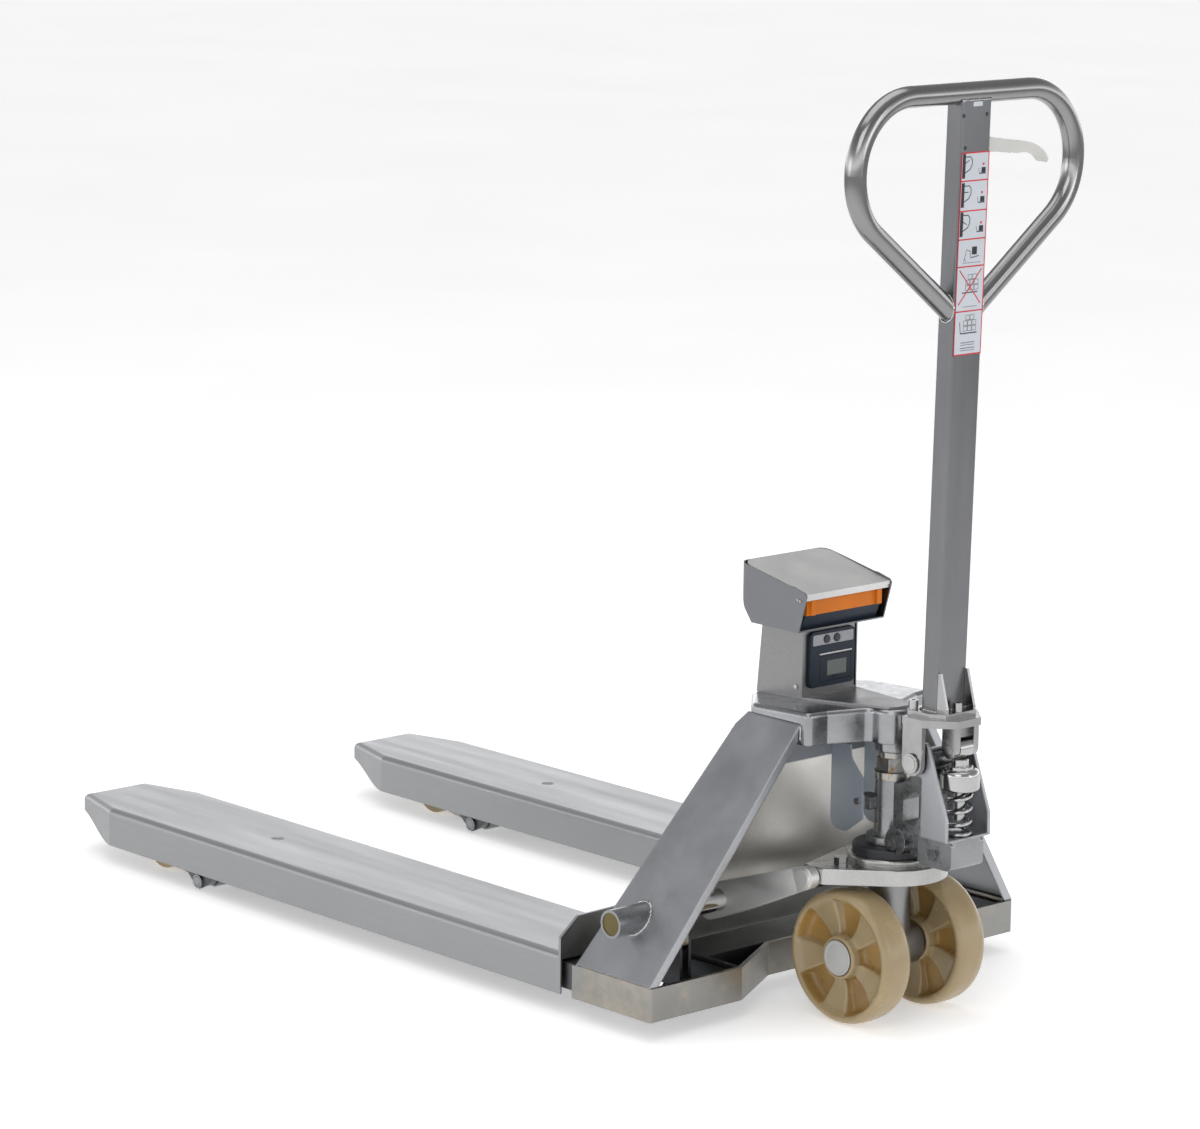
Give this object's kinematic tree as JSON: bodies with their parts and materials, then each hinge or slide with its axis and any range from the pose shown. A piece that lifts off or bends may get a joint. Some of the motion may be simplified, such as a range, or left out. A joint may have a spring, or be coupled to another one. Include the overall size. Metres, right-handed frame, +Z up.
{
  "type": "pallet scale",
  "caption": "Stainless hand pallet truck with weigh forks, an indicator head with printer on the frame, a hydraulic lift worked by a tiller and steered nylon wheels.",
  "frame": {"origin": "on the floor, at the centre of the footprint's bounding box", "axes": "+X from the tiller to the fork tips, +Y to the left seen from the tiller, +Z up"},
  "size_m": [1.508, 0.6858, 1.2358],
  "materials": {
    "black_hub": "sealed bearing with pale cap",
    "black_seal": "black rubber and plastic",
    "bluish_stainless": "satin plate, slightly blue",
    "brass_disc": "dull brass",
    "bright_steel": "bright pins and bolts",
    "display_glass": "tinted window",
    "ivory_plastic": "moulded hand lever",
    "key_plastic": "round rubbery keys",
    "keypad_foil": "membrane keys",
    "navy_plastic": "dark blue-grey moulded",
    "orange_plastic": "moulded",
    "polished_stainless": "electropolished casting",
    "satin_stainless": "satin, brushed lengthwise",
    "spring_steel": "polished wire",
    "strip_foil": "silver keyboard foil",
    "white_nylon": "cream moulded nylon",
    "white_paper": "thermal paper"
  },
  "bodies": {
    "chassis": {"weigh_fork_left": "satin_stainless", "weigh_fork_right": "satin_stainless", "fork_screws": "bright_steel", "inner_forks": "satin_stainless", "carrier_pivots": "polished_stainless", "load_cells": "satin_stainless", "rear_crossbar": "satin_stainless", "straps": "bluish_stainless", "shaft_bosses": "polished_stainless", "boss_plugs": "brass_disc", "front_panel": "bluish_stainless", "frame_webs": "satin_stainless", "yoke": "polished_stainless", "ram": "bright_steel", "yoke_cover": "bluish_stainless", "column": "satin_stainless", "printer_body": "navy_plastic", "printer_strip": "strip_foil", "paper_roll": "white_paper", "hood": "satin_stainless", "head_screws": "bright_steel", "indicator_base": "navy_plastic", "indicator_case": "orange_plastic", "display_window": "display_glass", "keypad": "keypad_foil"},
    "head_lid": {"hood_lid": "satin_stainless"},
    "feed_key": {"feed_key": "key_plastic"},
    "print_key": {"print_key": "key_plastic"},
    "printer_door": {"printer_door": "navy_plastic"},
    "rocker": {"torsion_shaft": "bright_steel", "link_arms": "polished_stainless", "link_pin_heads": "bright_steel"},
    "push_rod_left": {"push_rod_left": "satin_stainless"},
    "push_rod_right": {"push_rod_right": "satin_stainless"},
    "carrier_left": {"carrier_left": "polished_stainless"},
    "carrier_right": {"carrier_right": "polished_stainless"},
    "load_roller_left": {"load_roller_left": "white_nylon"},
    "load_roller_right": {"load_roller_right": "white_nylon"},
    "base": {"base_plate": "polished_stainless", "base_bolts": "bright_steel", "thrust_bearing": "black_seal"},
    "steering": {"pump_body": "polished_stainless", "gland": "polished_stainless", "pump_bolts": "bright_steel", "spring_bracket": "bluish_stainless", "tiller_pin": "bright_steel", "splash_guards": "bluish_stainless", "wheel_stem": "polished_stainless", "return_spring": "spring_steel"},
    "wheel_left": {"steer_wheel_left": "white_nylon", "wheel_hub_left": "black_hub"},
    "wheel_right": {"steer_wheel_right": "white_nylon", "wheel_hub_right": "black_hub"},
    "tiller": {"tiller_foot": "polished_stainless", "press_roller": "bright_steel", "foot_bolts": "bright_steel", "tiller_tube": "satin_stainless", "handle_loop": "satin_stainless"},
    "hand_lever": {"hand_lever": "ivory_plastic"},
    "plunger": {"plunger": "polished_stainless"}
  },
  "joints": [
    {"name": "lift", "type": "slide", "parent": "chassis", "child": "base", "axis": [0, 0, -1], "range_m": [0, 0.11]},
    {"name": "rocker_turn", "type": "hinge", "parent": "chassis", "child": "rocker", "pos_m": [-0.4405, 0, 0.143], "axis": [0, -1, 0], "range_deg": [0, 43.2]},
    {"name": "rod_left_slide", "type": "slide", "parent": "chassis", "child": "push_rod_left", "axis": [1, 0, 0], "range_m": [0, 0.0334]},
    {"name": "rod_right_slide", "type": "slide", "parent": "chassis", "child": "push_rod_right", "axis": [1, 0, 0], "range_m": [0, 0.0334]},
    {"name": "carrier_left_swing", "type": "hinge", "parent": "chassis", "child": "carrier_left", "pos_m": [0.4465, 0.2594, 0.015], "axis": [0, 1, 0], "range_deg": [0, 48.5]},
    {"name": "carrier_right_swing", "type": "hinge", "parent": "chassis", "child": "carrier_right", "pos_m": [0.4465, -0.2594, 0.015], "axis": [0, 1, 0], "range_deg": [0, 48.5]},
    {"name": "load_roller_left_spin", "type": "hinge", "parent": "carrier_left", "child": "load_roller_left", "pos_m": [0.5838, 0.2594, 0.037], "axis": [0, 1, 0], "continuous": true},
    {"name": "load_roller_right_spin", "type": "hinge", "parent": "carrier_right", "child": "load_roller_right", "pos_m": [0.5838, -0.2594, 0.037], "axis": [0, 1, 0], "continuous": true},
    {"name": "steer_turn", "type": "hinge", "parent": "base", "child": "steering", "pos_m": [-0.6095, 0, 0.2], "axis": [0, 0, 1], "range_deg": [-75, 75]},
    {"name": "wheel_left_spin", "type": "hinge", "parent": "steering", "child": "wheel_left", "pos_m": [-0.6095, 0.07, 0.09], "axis": [0, 1, 0], "continuous": true},
    {"name": "wheel_right_spin", "type": "hinge", "parent": "steering", "child": "wheel_right", "pos_m": [-0.6095, -0.07, 0.09], "axis": [0, 1, 0], "continuous": true},
    {"name": "tiller_tilt", "type": "hinge", "parent": "steering", "child": "tiller", "pos_m": [-0.6915, 0, 0.36], "axis": [0, -1, 0], "range_deg": [0, 80], "stiffness_Nm_per_rad": 6, "springref_deg": -45.84},
    {"name": "plunger_slide", "type": "slide", "parent": "steering", "child": "plunger", "axis": [0, 0, -1], "range_m": [0, 0.056], "deforming": ["return_spring"]},
    {"name": "hand_lever_turn", "type": "hinge", "parent": "tiller", "child": "hand_lever", "pos_m": [-0.71175, -0.021, 1.15434], "axis": [0.9998, 0, 0.0209], "range_deg": [-12, 24], "stiffness_Nm_per_rad": 0.4},
    {"name": "head_lid_lift", "type": "hinge", "parent": "chassis", "child": "head_lid", "pos_m": [-0.396, 0, 0.585], "axis": [0, 1, 0], "range_deg": [0, 100]},
    {"name": "printer_door_drop", "type": "hinge", "parent": "chassis", "child": "printer_door", "pos_m": [-0.4945, 0, 0.4292], "axis": [0, -1, 0], "range_deg": [0, 95]},
    {"name": "feed_key_press", "type": "slide", "parent": "chassis", "child": "feed_key", "axis": [1, 0, 0], "range_m": [0, 0.002], "stiffness_N_per_m": 300, "springref_m": -0.001},
    {"name": "print_key_press", "type": "slide", "parent": "chassis", "child": "print_key", "axis": [1, 0, 0], "range_m": [0, 0.002], "stiffness_N_per_m": 300, "springref_m": -0.001}
  ],
  "couplings": [
    {"joint": "rocker_turn", "follows": "lift", "rad_per_m": 6.8385},
    {"joint": "rod_left_slide", "follows": "lift", "ratio": 0.30182},
    {"joint": "rod_right_slide", "follows": "lift", "ratio": 0.30182},
    {"joint": "carrier_left_swing", "follows": "lift", "rad_per_m": 7.6794},
    {"joint": "carrier_right_swing", "follows": "lift", "rad_per_m": 7.6794},
    {"joint": "plunger_slide", "follows": "tiller_tilt", "m_per_rad": 0.04}
  ]
}
